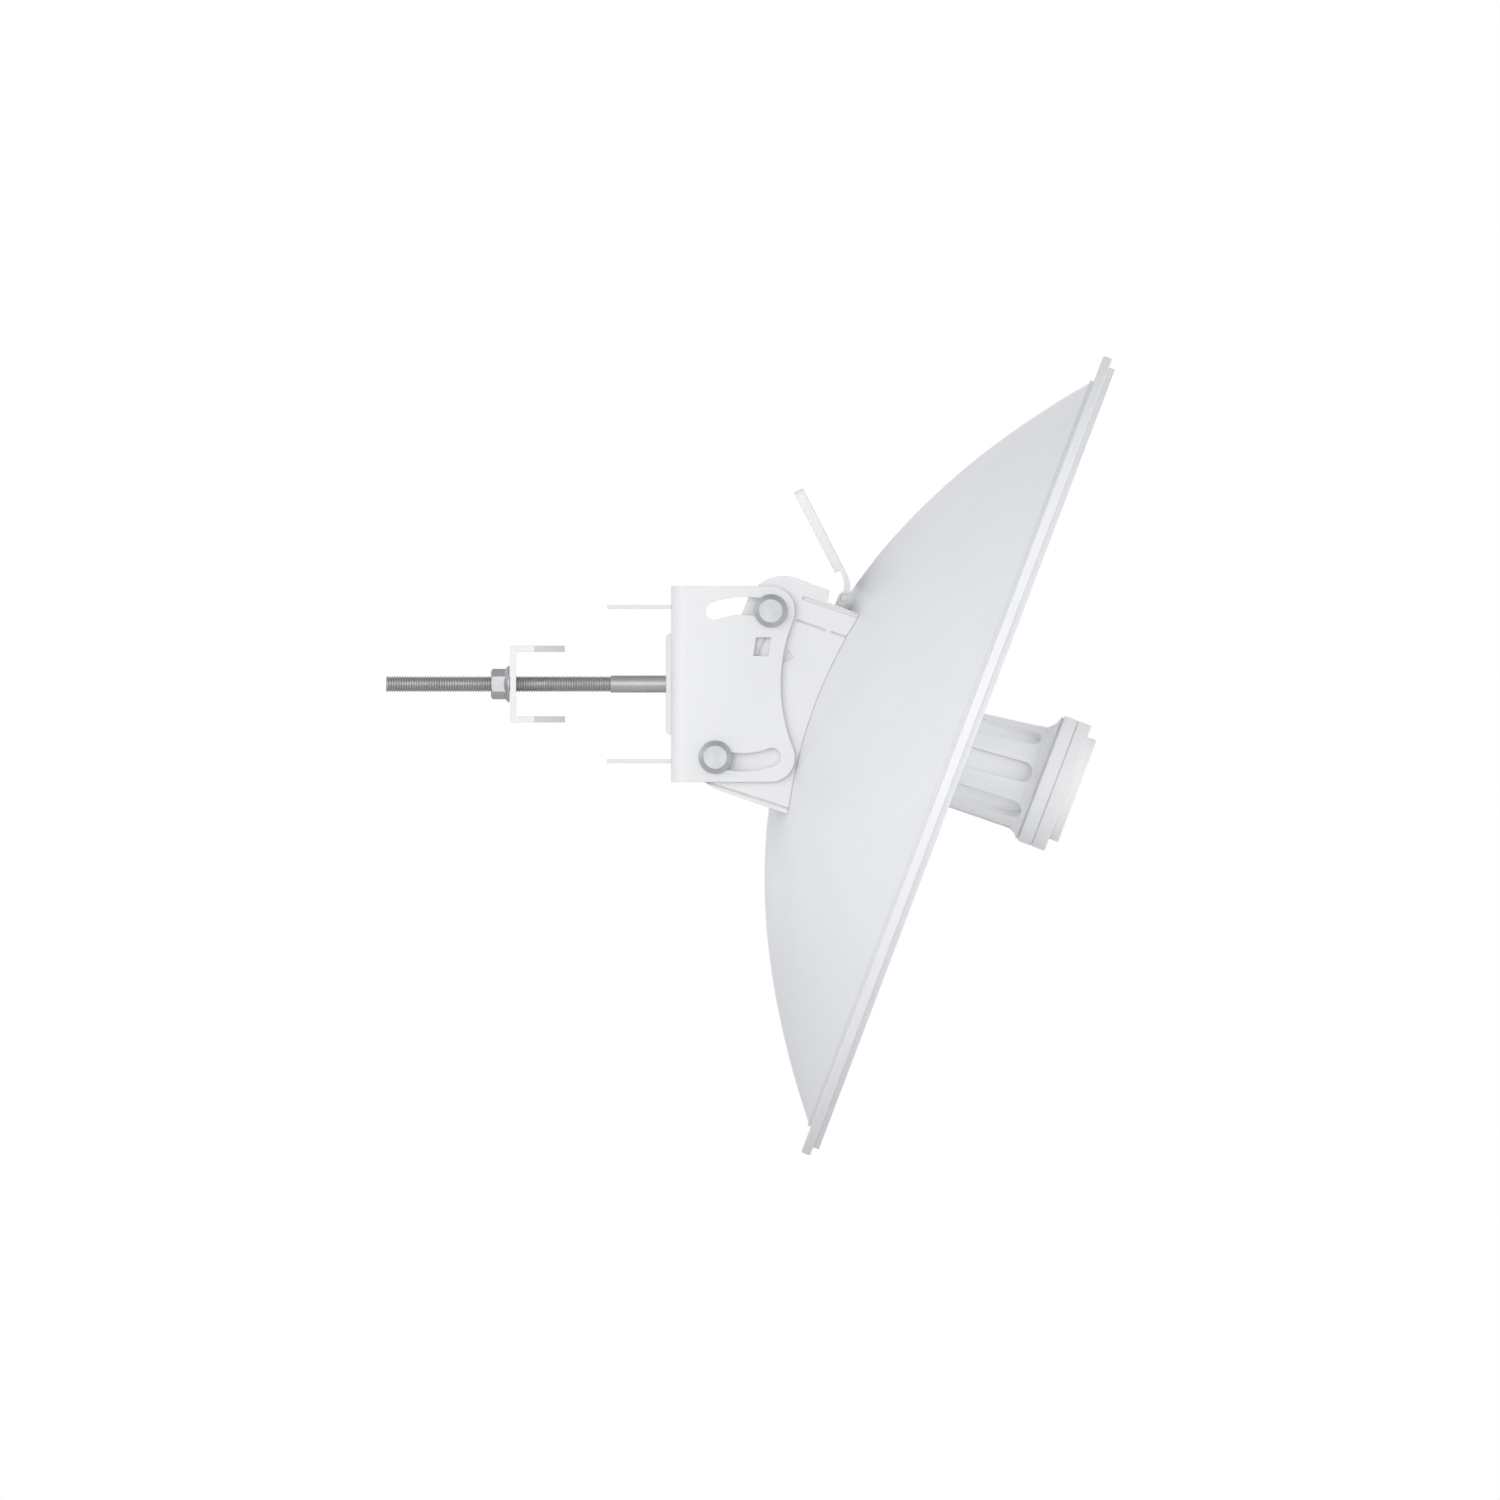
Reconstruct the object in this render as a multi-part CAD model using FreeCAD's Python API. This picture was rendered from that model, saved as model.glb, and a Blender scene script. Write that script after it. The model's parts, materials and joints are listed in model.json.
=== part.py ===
import FreeCAD, Part
import math
import os

# Outdoor wireless bridge: a 420 mm dish radio on a tilting bracket, clamped to a pole.
# Millimetres, +Z up. The origin is on the pole's axis, level with the clamp's two long bolts.
# +X points from the pole to the dish, and the object is symmetric about the XZ plane.
#
# Everything that tilts with the dish is drawn level, with the tilt axis at the origin:
# X is then the distance forward along the dish (n), Z the height above the tilt axis (u).
# tip() puts such a shape into the row's frame.

# ---- driving dimensions ----
TILT = 20.8             # degrees that the dish points below the horizon at rest
PIVOT_X = 86.3          # pole axis to tilt axis
POLE_R = 21.0           # radius of the pole that the jaws are ground for

SHEET = 3.0             # thickness of the folded steel brackets
WEB_X = 50.8            # pole side of the pole bracket's web
PLATE_Y = 72.5          # outside of the pole bracket's side plates
PLATE_Z = 48.3          # half height of the side plates
BEND_R = 7.5            # outside radius of the pole bracket's folds
LOBE_X, LOBE_Z, LOBE_R = 99.8, 36.2, 12.1   # round corners of the side plates
WAIST_X = 104.9         # where the side plates are shortest
SLOT_R = 38.6           # tilt axis to the tilt bolts and to the middle of their slots
SLOT_HALF = 4.4         # half width of a tilt slot
SLOT_SWEEP = 21.5       # degrees that each slot runs either side of straight up or down
PAD_PROUD = 2.5         # height of the pressed pad on the web
PAD_Y, PAD_Z = 57.0, 25.0

JAW_Z, JAW_T = 38.0, 2.0        # level and thickness of the two jaw plates
JAW_X = 19.3                    # tips of the jaw plates
BOLT_Y = 43.0                   # carriage bolts either side of the pole
BOLT_TIP_X, THREAD_END_X = -89.7, 21.2
THREAD_R, THREAD_ROOT_R, SHANK_R, PITCH = 3.9, 3.25, 4.2, 1.25
CLAMP_X, CLAMP_Z, CLAMP_TIP_X, CLAMP_Y = -28.6, 18.9, -1.5, 55.0
NUT_AF, NUT_FLANGE_R, NUT_H = 13.0, 8.9, 9.2

CHEEK_Y = 69.2          # outside of the dish bracket's cheeks
CHEEK_REAR, CHEEK_TOP, CHEEK_BOTTOM, CHEEK_R = -12.8, 58.2, -53.2, 19.5
CHEEK_STEP_N, CHEEK_LOW_TOP = 23.5, 52.6
PLATE_N = 28.5          # rear of the dish bracket's front plate

AXIS_U = 4.4            # dish axis above the tilt axis
DISH_N0, FOCUS = 26.7, 118.5    # back surface: n = DISH_N0 + r^2 / (4 FOCUS)
DISH_T, DISH_GAP = 1.5, 0.08    # thickness, and the gap that the dish bracket leaves behind it
FLAT_R, DISH_R, LIP_R, RING_R = 48.0, 195.0, 205.6, 210.0
RING_N, LIP_N, FRONT_N = 108.6, 113.4, 116.3
TUBE_HOLE_R = 24.5

HOUSING_REAR, HOUSING_Y, HOUSING_BOTTOM, HOUSING_TOP = -9.5, 46.0, -46.0, 52.0
WALL = 2.5
DECK_U, DECK_T = 33.0, 2.4      # floor of the cable bay
BAY_FRONT, RIM_TOP, RIM_Y = 17.0, 57.2, 43.0
SOCKET_R, SOCKET_N = 23.8, 19.6
BUTTON_R, BUTTON_U = 6.0, -26.0         # release button in the rear wall
GLAND_Y, GLAND_U, GLAND_NECK_R, GLAND_BORE_R, GLAND_R = 24.0, 42.0, 4.4, 3.0, 5.4
RESET_N, RESET_Y, RESET_R = 5.0, -24.0, 1.8
LENS_U, LENS_R, LENS_YS = 14.0, 1.6, (-12.0, 0.0, 12.0)

HINGE_N, HINGE_U = 31.5, 57.5   # lid hinge
LID_OPEN = 42.0                 # degrees that the lid stands open at rest
LID_NEAR, LID_FAR, LID_HALF = 13.0, 57.5, 48.0   # measured back from the hinge
LID_UNDER, LID_DECK, LID_OUT = 1.6, 4.1, 6.5     # heights above the hinge, lid closed

TUBE_REAR, TUBE_R = 20.0, 23.5
NECK = ((60.0, 0.0, 23.5), (113.0, -0.8, 24.6), (148.0, 2.3, 26.6), (151.0, 3.2, 28.8),
        (153.0, 4.2, 32.4))     # n, centre above the dish axis and radius of the feed tube
FLUTES, FLUTE_FIRST = 8, 5.0    # number of flutes, and the angle of the first from -Y
CAP_H, CAP_R, CAP_REAR, CAP_FRONT, FACE_R, FACE_FRONT = 4.4, 32.9, 153.8, 168.1, 26.8, 172.8

X, Y, Z = FreeCAD.Vector(1, 0, 0), FreeCAD.Vector(0, 1, 0), FreeCAD.Vector(0, 0, 1)
ORIGIN = FreeCAD.Vector(0, 0, 0)


def V(x, y, z):
    return FreeCAD.Vector(x, y, z)


# ---- small tools ----
def box(x0, x1, y0, y1, z0, z1):
    return Part.makeBox(x1 - x0, y1 - y0, z1 - z0, V(x0, y0, z0))


def rod(r, x0, x1, y=0.0, z=0.0):
    """A cylinder along X."""
    return Part.makeCylinder(r, x1 - x0, V(x0, y, z), X)


def pin(r, y0, y1, x, z):
    """A cylinder along Y."""
    return Part.makeCylinder(r, y1 - y0, V(x, y0, z), Y)


def hexagon(across_flats, x0, x1, y=0.0, z=0.0, turn=0.0):
    """A six-sided bar along X with a corner up, or turned by some degrees."""
    corner = across_flats / math.sqrt(3)
    angles = [math.radians(60 * k + turn) for k in range(7)]
    points = [V(x0, y + corner * math.sin(a), z + corner * math.cos(a)) for a in angles]
    return Part.Face(Part.makePolygon(points)).extrude(V(x1 - x0, 0, 0))


def spin(points):
    """The solid that a closed outline of (x, r) points sweeps around the X axis."""
    outline = Part.makePolygon([V(x, 0, r) for x, r in points + points[:1]])
    return Part.Face(outline).revolve(ORIGIN, X, 360)


def prism(points, y0, y1):
    """A closed outline of (x, z) points, drawn along Y."""
    outline = Part.makePolygon([V(x, y0, z) for x, z in points + points[:1]])
    return Part.Face(outline).extrude(V(0, y1 - y0, 0))


def edges_along(shape, direction, test):
    """The straight edges in a direction whose middle passes a test."""
    found = []
    for edge in shape.Edges:
        if edge.Curve.TypeId != "Part::GeomLine":
            continue
        if abs(abs(edge.tangentAt(edge.FirstParameter).dot(direction)) - 1) > 1e-6:
            continue
        if test(edge.CenterOfMass):
            found.append(edge)
    return found


def tip(shape):
    """From the level dish frame to the row's frame."""
    placed = shape.copy()
    placed.rotate(ORIGIN, Y, TILT)
    placed.translate(V(PIVOT_X, 0, 0))
    return placed


def group(shapes):
    return Part.makeCompound(shapes)


def fuse(shapes):
    whole = shapes[0].multiFuse(shapes[1:]) if len(shapes) > 1 else shapes[0]
    return whole.removeSplitter()


# ---- pole bracket ----
def plate_outline():
    """Side plate seen along Y: straight at the web, a round lobe at each bolt and a hollow waist."""
    lead = WAIST_X - LOBE_X
    waist_r = (lead**2 + LOBE_Z**2 - LOBE_R**2) / (2 * (LOBE_R - lead))
    waist_centre = WAIST_X + waist_r
    reach = math.hypot(waist_centre - LOBE_X, LOBE_Z)
    touch_x = LOBE_X + LOBE_R * (waist_centre - LOBE_X) / reach
    touch_z = LOBE_Z - LOBE_R * LOBE_Z / reach
    half = math.radians(35)
    side_x, side_z = LOBE_X + LOBE_R * math.cos(half), LOBE_Z + LOBE_R * math.sin(half)
    top = LOBE_Z + LOBE_R
    start = WEB_X - PAD_PROUD - 1
    edges = [
        Part.makeLine(V(start, 0, -top), V(start, 0, top)),
        Part.makeLine(V(start, 0, top), V(LOBE_X, 0, top)),
        Part.Arc(V(LOBE_X, 0, top), V(side_x, 0, side_z), V(touch_x, 0, touch_z)).toShape(),
        Part.Arc(V(touch_x, 0, touch_z), V(WAIST_X, 0, 0), V(touch_x, 0, -touch_z)).toShape(),
        Part.Arc(V(touch_x, 0, -touch_z), V(side_x, 0, -side_z), V(LOBE_X, 0, -top)).toShape(),
        Part.makeLine(V(LOBE_X, 0, -top), V(start, 0, -top)),
    ]
    return Part.Face(Part.Wire(edges))


def tilt_slot(up):
    """A curved slot around the tilt axis, above it (up = 1) or below it (up = -1)."""
    def at(radius, degrees):
        a = math.radians(degrees)
        return V(PIVOT_X + radius * math.sin(a), 0, up * radius * math.cos(a))

    def end_arc(degrees, beyond):
        """The round end of the slot: it bulges along the slot, away from the middle."""
        middle = at(SLOT_R, degrees)
        along = (at(SLOT_R, degrees + beyond) - middle).normalize()
        return middle + along * SLOT_HALF

    inner, outer = SLOT_R - SLOT_HALF, SLOT_R + SLOT_HALF
    s = SLOT_SWEEP
    edges = [
        Part.Arc(at(outer, -s), at(outer, 0), at(outer, s)).toShape(),
        Part.Arc(at(outer, s), end_arc(s, 0.01), at(inner, s)).toShape(),
        Part.Arc(at(inner, s), at(inner, 0), at(inner, -s)).toShape(),
        Part.Arc(at(inner, -s), end_arc(-s, -0.01), at(outer, -s)).toShape(),
    ]
    face = Part.Face(Part.Wire(edges))
    face.translate(V(0, -PLATE_Y - 5, 0))
    return face.extrude(V(0, 2 * PLATE_Y + 10, 0))


def pole_bracket():
    far = LOBE_X + LOBE_R + 10
    outer = box(WEB_X, far, -PLATE_Y, PLATE_Y, -PLATE_Z, PLATE_Z)
    folds = edges_along(outer, Z, lambda c: c.x < WEB_X + 1)
    outer = outer.makeFillet(BEND_R, folds)
    inner_y = PLATE_Y - SHEET
    inner = box(WEB_X + SHEET, far + 1, -inner_y, inner_y, -PLATE_Z - 1, PLATE_Z + 1)
    inner = inner.makeFillet(BEND_R - SHEET, edges_along(inner, Z, lambda c: c.x < WEB_X + 4))
    pad = box(WEB_X - PAD_PROUD, WEB_X + 1, -PAD_Y, PAD_Y, -PAD_Z, PAD_Z)
    pad = pad.makeFillet(2.2, [e for e in pad.Edges if e.CenterOfMass.x < WEB_X - PAD_PROUD + 0.01])
    dent_y, dent_z = PAD_Y - SHEET, PAD_Z - SHEET
    dent = box(WEB_X + SHEET - PAD_PROUD, far, -dent_y, dent_y, -dent_z, dent_z)
    body = outer.cut(inner).fuse(pad).cut(dent)
    outline = plate_outline()
    outline.translate(V(0, -PLATE_Y - 5, 0))
    body = body.common(outline.extrude(V(0, 2 * PLATE_Y + 10, 0)))
    half_square = 4.35
    cutters = [tilt_slot(1), tilt_slot(-1)]
    square = box(WEB_X - 5, WEB_X + 5, -half_square, half_square, -half_square, half_square)
    for y in (-BOLT_Y, BOLT_Y):
        cutters.append(square.translated(V(0, y, 0)))
    # a small sloping window for reading the tilt mark
    window = [(91.4, 13.9), (98.6, 13.9), (100.0, 23.0), (92.8, 23.0)]
    cutters.append(prism(window, -PLATE_Y - 1, PLATE_Y + 1))
    return body.cut(cutters).removeSplitter()


def toothed_edge(start, end, count, depth):
    """Points of a saw-tooth line from start to end in the XY plane; the teeth bite to its left."""
    run = end - start
    left = V(-run.y, run.x, 0).normalize()
    points = []
    for k in range(count):
        points.append(start + run * (k / count))
        points.append(start + run * ((k + 0.5) / count) + left * depth)
    return points


def jaw_plates():
    """Two flat jaws, one above and one below the clamp, hollowed for the pole."""
    half = math.asin(math.sqrt(1 - (JAW_X / POLE_R) ** 2))
    seat_y = POLE_R * math.sin(half)
    tooth_y, root_y = 30.0, 48.0
    plates = []
    for level in (-JAW_Z, JAW_Z):
        z = level - JAW_T / 2
        upper = toothed_edge(V(JAW_X, seat_y, z), V(JAW_X, tooth_y, z), 9, -1.3)
        upper += [V(JAW_X, tooth_y, z), V(WEB_X, root_y, z)]
        upper += [V(WEB_X, -root_y, z), V(JAW_X, -tooth_y, z)]
        lower = toothed_edge(V(JAW_X, -tooth_y, z), V(JAW_X, -seat_y, z), 9, -1.3)
        outline = upper + lower[1:] + [V(JAW_X, -seat_y, z)]
        seat = Part.Arc(outline[-1], V(POLE_R, 0, z), outline[0]).toShape()
        wire = Part.Wire(Part.makePolygon(outline).Edges + [seat])
        plates.append(Part.Face(wire).extrude(V(0, 0, JAW_T)))
    return group(plates)


def carriage_bolts():
    """Two long round-head bolts with a square under the head, threaded up to the pole's far side."""
    seat = WEB_X - PAD_PROUD + SHEET
    turns = int((THREAD_END_X - BOLT_TIP_X) / PITCH)
    points = [(BOLT_TIP_X, 0.0), (BOLT_TIP_X, THREAD_ROOT_R)]
    for k in range(turns):
        crest = BOLT_TIP_X + (k + 0.5) * PITCH
        points.append((crest - 0.1, THREAD_R))
        points.append((crest + 0.1, THREAD_R))
        points.append((BOLT_TIP_X + (k + 1) * PITCH, THREAD_ROOT_R))
    points += [(THREAD_END_X, SHANK_R), (WEB_X - PAD_PROUD, SHANK_R), (WEB_X - PAD_PROUD, 0.0)]
    shaft = spin(points)
    square = box(WEB_X - PAD_PROUD, seat, -4.1, 4.1, -4.1, 4.1)
    head_r, head_h = 9.6, 4.6
    dome_r = (head_r**2 + head_h**2) / (2 * head_h)
    dome = Part.makeSphere(dome_r, V(seat + head_h - dome_r, 0, 0))
    head = dome.common(rod(head_r + 1, seat, seat + head_h + 1))
    bolt = fuse([shaft, square, head])
    bolts = []
    for y in (-BOLT_Y, BOLT_Y):
        placed = bolt.copy()
        placed.translate(V(0, y, 0))
        bolts.append(placed)
    return group(bolts)


# ---- pole clamp ----
def clamp_flange(z):
    """One flange of the clamp: a round seat for the pole between two toothed ramps."""
    seat_angle = math.radians(60)
    sx, sy = -POLE_R * math.cos(seat_angle), POLE_R * math.sin(seat_angle)
    tip_y = sy + (CLAMP_TIP_X - sx) * math.tan(math.radians(30))
    near = [V(sx, sy, z), V(CLAMP_TIP_X, tip_y, z)]
    upper = toothed_edge(near[0], near[1], 4, 1.2) + [near[1], V(CLAMP_TIP_X, tip_y + 7, z)]
    upper += [V(CLAMP_X + 12, CLAMP_Y, z), V(CLAMP_X + 1, CLAMP_Y, z)]
    lower = [V(p.x, -p.y, z) for p in reversed(upper)]
    outline = upper + lower
    seat = Part.Arc(outline[-1], V(-POLE_R, 0, z), outline[0]).toShape()
    wire = Part.Wire(Part.makePolygon(outline).Edges + [seat])
    return Part.Face(wire).extrude(V(0, 0, SHEET))


def pole_clamp():
    web = box(CLAMP_X, CLAMP_X + SHEET, -CLAMP_Y, CLAMP_Y, -CLAMP_Z, CLAMP_Z)
    body = fuse([web, clamp_flange(CLAMP_Z - SHEET), clamp_flange(-CLAMP_Z)])
    folds = edges_along(body, Y, lambda c: c.x < CLAMP_X + 0.1)
    body = body.makeFillet(1.5, folds)
    holes = [rod(4.5, CLAMP_X - 1, CLAMP_X + SHEET + 1, y) for y in (-BOLT_Y, BOLT_Y)]
    return body.cut(holes)


def clamp_nut(y):
    """A flange nut on one carriage bolt, its flange towards the clamp."""
    face = CLAMP_X - 0.2
    body = hexagon(NUT_AF, face - NUT_H, face - 1.2)
    corner = NUT_AF / math.sqrt(3)
    bevel = spin([(face - NUT_H, 0), (face - NUT_H, 0.95 * NUT_AF / 2),
                  (face - NUT_H + 0.9, corner + 0.1), (face, corner + 0.1), (face, 0)])
    skirt = spin([(face - 3.2, 0), (face - 3.2, 0.93 * NUT_AF / 2), (face - 0.9, NUT_FLANGE_R),
                  (face, NUT_FLANGE_R), (face, 0)])
    nut = fuse([body.common(bevel), skirt]).cut(rod(THREAD_R + 0.08, face - NUT_H - 1, face + 1))
    nut.translate(V(0, y, 0))
    return nut


# ---- dish bracket, drawn level ----
def dish_back(r):
    return DISH_N0 + r * r / (4 * FOCUS)


def back_curve(offset, r0, r1):
    """The dish's section between two radii, moved along its own normal, as one smooth edge."""
    points = []
    steps = 8
    for k in range(steps + 1):
        r = r0 + (r1 - r0) * k / steps
        slope = r / (2 * FOCUS)
        size = math.hypot(1, slope)
        points.append(V(dish_back(r) + offset / size, 0, r - offset * slope / size))
    curve = Part.BSplineCurve()
    curve.interpolate(points)
    return curve.toShape(), points[0], points[-1]


def in_front_of_dish(gap):
    """Everything from a gap behind the dish's back surface forward, as a solid to cut with."""
    edge, first, last = back_curve(-gap, FLAT_R, DISH_R)
    front = FRONT_N + 60
    corner = [last, V(front, 0, last.z), V(front, 0, 0), V(first.x, 0, 0), first]
    wire = Part.Wire([edge] + Part.makePolygon(corner).Edges)
    solid = Part.Face(wire).revolve(ORIGIN, X, 360)
    solid.translate(V(0, 0, AXIS_U))
    return solid


def cheek_outline():
    """Cheek seen along Y: two large round corners at the rear, and a step near the dish on top."""
    far = 60.0
    k = CHEEK_R * (1 - math.sqrt(0.5))
    top, low = CHEEK_TOP, CHEEK_BOTTOM
    edges = [
        Part.makeLine(V(CHEEK_REAR, 0, low + CHEEK_R), V(CHEEK_REAR, 0, top - CHEEK_R)),
        Part.Arc(V(CHEEK_REAR, 0, top - CHEEK_R), V(CHEEK_REAR + k, 0, top - k),
                 V(CHEEK_REAR + CHEEK_R, 0, top)).toShape(),
        Part.makeLine(V(CHEEK_REAR + CHEEK_R, 0, top), V(CHEEK_STEP_N, 0, top)),
        Part.makeLine(V(CHEEK_STEP_N, 0, top), V(CHEEK_STEP_N + 1, 0, CHEEK_LOW_TOP)),
        Part.makeLine(V(CHEEK_STEP_N + 1, 0, CHEEK_LOW_TOP), V(far, 0, CHEEK_LOW_TOP)),
        Part.makeLine(V(far, 0, CHEEK_LOW_TOP), V(far, 0, low + 1.6)),
        Part.makeLine(V(far, 0, low + 1.6), V(CHEEK_REAR + CHEEK_R, 0, low)),
        Part.Arc(V(CHEEK_REAR + CHEEK_R, 0, low), V(CHEEK_REAR + k, 0, low + k),
                 V(CHEEK_REAR, 0, low + CHEEK_R)).toShape(),
    ]
    return Part.Face(Part.Wire(edges))


def screw_places():
    """(y, u) of the four screws that hold the dish, the bracket and the housing together."""
    return [(sy * 29.0, AXIS_U + su * 29.0) for sy in (-1, 1) for su in (-1, 1)]


def dish_bracket():
    face = cheek_outline()
    face.translate(V(0, CHEEK_Y - SHEET, 0))
    cheek = face.extrude(V(0, SHEET, 0))
    groove_y, deep = CHEEK_Y - 0.9, CHEEK_Y + 1
    pressed = [
        prism([(12.5, 49.4), (60, 51.0), (60, 52.7), (12.5, 51.0)], groove_y, deep),
        prism([(13.5, 38.4), (60, 39.9), (60, 40.9), (13.5, 39.3)], groove_y, deep),
        prism([(0, -51.2), (60, -48.2), (60, -49.2), (0, -52.0)], groove_y, deep),
        # the tilt pointer and a small arrow beside the plate
        prism([(1.5, 15.5), (2.7, 15.5), (2.7, 25.5), (1.5, 25.5)], groove_y, deep),
        prism([(14.6, 17.0), (19.0, 21.0), (14.6, 23.5)], groove_y, deep),
    ]
    bolt_holes = [pin(4.3, CHEEK_Y - SHEET - 1, CHEEK_Y + 1, 0, u) for u in (-SLOT_R, SLOT_R)]
    cheek = cheek.cut(pressed + bolt_holes)
    plate = box(PLATE_N, PLATE_N + SHEET, -CHEEK_Y, CHEEK_Y, -46.0, 42.0)
    body = fuse([cheek, cheek.mirror(ORIGIN, Y), plate])
    holes = [rod(31.0, PLATE_N - 1, PLATE_N + SHEET + 1, 0, AXIS_U)]
    holes += [rod(3.3, PLATE_N - 1, PLATE_N + SHEET + 1, y, u) for y, u in screw_places()]
    return body.cut(holes + [in_front_of_dish(DISH_GAP)])


def tilt_bolts():
    """Four flange bolts that slide in the curved slots and screw into nuts inside the cheeks."""
    under = PLATE_Y + 0.15
    across, head = 12.0, 5.6
    corner = across / math.sqrt(3)
    cap = hexagon(across, under + 1.0, under + head, turn=30)
    bevel = spin([(under, 0), (under, corner + 0.1), (under + head - 0.9, corner + 0.1),
                  (under + head, 0.95 * across / 2), (under + head, 0)])
    skirt = spin([(under, 0), (under, 8.2), (under + 1.0, 8.2), (under + 2.8, 0.95 * across / 2),
                  (under + 2.8, 0)])
    bolt = fuse([cap.common(bevel), skirt, rod(4.0, CHEEK_Y - 11.5, under + 0.5)])
    bolt.rotate(ORIGIN, Z, 90)
    bolts = []
    for u in (-SLOT_R, SLOT_R):
        near = bolt.copy()
        near.translate(V(0, 0, u))
        bolts += [near, near.mirror(ORIGIN, Y)]
    return group(bolts)


def weld_nuts():
    nut = hexagon(13.0, CHEEK_Y - SHEET - 6.5, CHEEK_Y - SHEET).cut(rod(4.05, 50, 80))
    nut.rotate(ORIGIN, Z, 90)
    nuts = []
    for u in (-SLOT_R, SLOT_R):
        near = nut.copy()
        near.translate(V(0, 0, u))
        nuts += [near, near.mirror(ORIGIN, Y)]
    return group(nuts)


# ---- dish ----
def dish_reflector():
    """A pressed bowl with a flat centre and a stepped rim, of even thickness."""
    back, back_first, back_last = back_curve(0, FLAT_R, DISH_R)
    front, front_first, front_last = back_curve(DISH_T, FLAT_R, DISH_R)
    flat_n = back_first.x
    step_r = DISH_R + DISH_T
    inner = [front_first, V(flat_n + DISH_T, 0, front_first.z - 3), V(flat_n + DISH_T, 0, TUBE_HOLE_R),
             V(flat_n, 0, TUBE_HOLE_R), back_first]
    rim = [back_last, V(back_last.x, 0, step_r), V(LIP_N, 0, step_r), V(LIP_N, 0, LIP_R),
           V(FRONT_N, 0, LIP_R), V(FRONT_N, 0, front_last.z), front_last]
    edges = Part.makePolygon(inner).Edges + [back] + Part.makePolygon(rim).Edges + [front]
    wire = Part.Wire(Part.__sortEdges__(edges))
    bowl = Part.Face(wire).revolve(ORIGIN, X, 360)
    bowl.translate(V(0, 0, AXIS_U))
    holes = [rod(3.3, 20, 50, y, u) for y, u in screw_places()]
    return bowl.cut(holes)


def rim_ring():
    """The stiffening ring behind the dish's lip."""
    inner = DISH_R + DISH_T + 0.1
    ring = rod(RING_R, RING_N, LIP_N, 0, 0).cut(rod(inner, RING_N - 1, LIP_N + 1))
    outside = [e for e in ring.Edges if e.BoundBox.ZLength > 2 * RING_R - 1]
    ring = ring.makeFillet(1.0, outside)
    ring.translate(V(0, 0, AXIS_U))
    return ring


def dish_screws():
    """Four pan-head screws from the front of the dish."""
    front = dish_back(FLAT_R) + DISH_T
    head_h, shaft_r = 3.4, 2.9
    screws = []
    for y, u in screw_places():
        head = rod(5.2, front, front + head_h, y, u)
        crown = [e for e in head.Edges if e.CenterOfMass.x > front + head_h - 0.01]
        head = head.makeFillet(1.6, crown)
        drive = hexagon(4.0, front + 1.4, front + head_h + 1, y, u)
        screws.append(fuse([head, rod(shaft_r, 18.5, front + 0.5, y, u)]).cut(drive))
    return group(screws)


def dish_nuts():
    front = PLATE_N - WALL
    return group([hexagon(10.0, front - 5.0, front, y, u).cut(rod(2.95, 10, 40, y, u))
                  for y, u in screw_places()])


def tube_gasket():
    """Rubber ring on the dish's front face, around the feed tube."""
    face = dish_back(FLAT_R) + DISH_T
    ring = rod(30.0, face, face + 2.2).cut(rod(TUBE_R + 0.3, face - 1, face + 4))
    outside = [e for e in ring.Edges if e.BoundBox.ZLength > 59 and e.CenterOfMass.x > face + 2]
    ring = ring.makeFillet(1.0, outside)
    ring.translate(V(0, 0, AXIS_U))
    return ring


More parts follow.
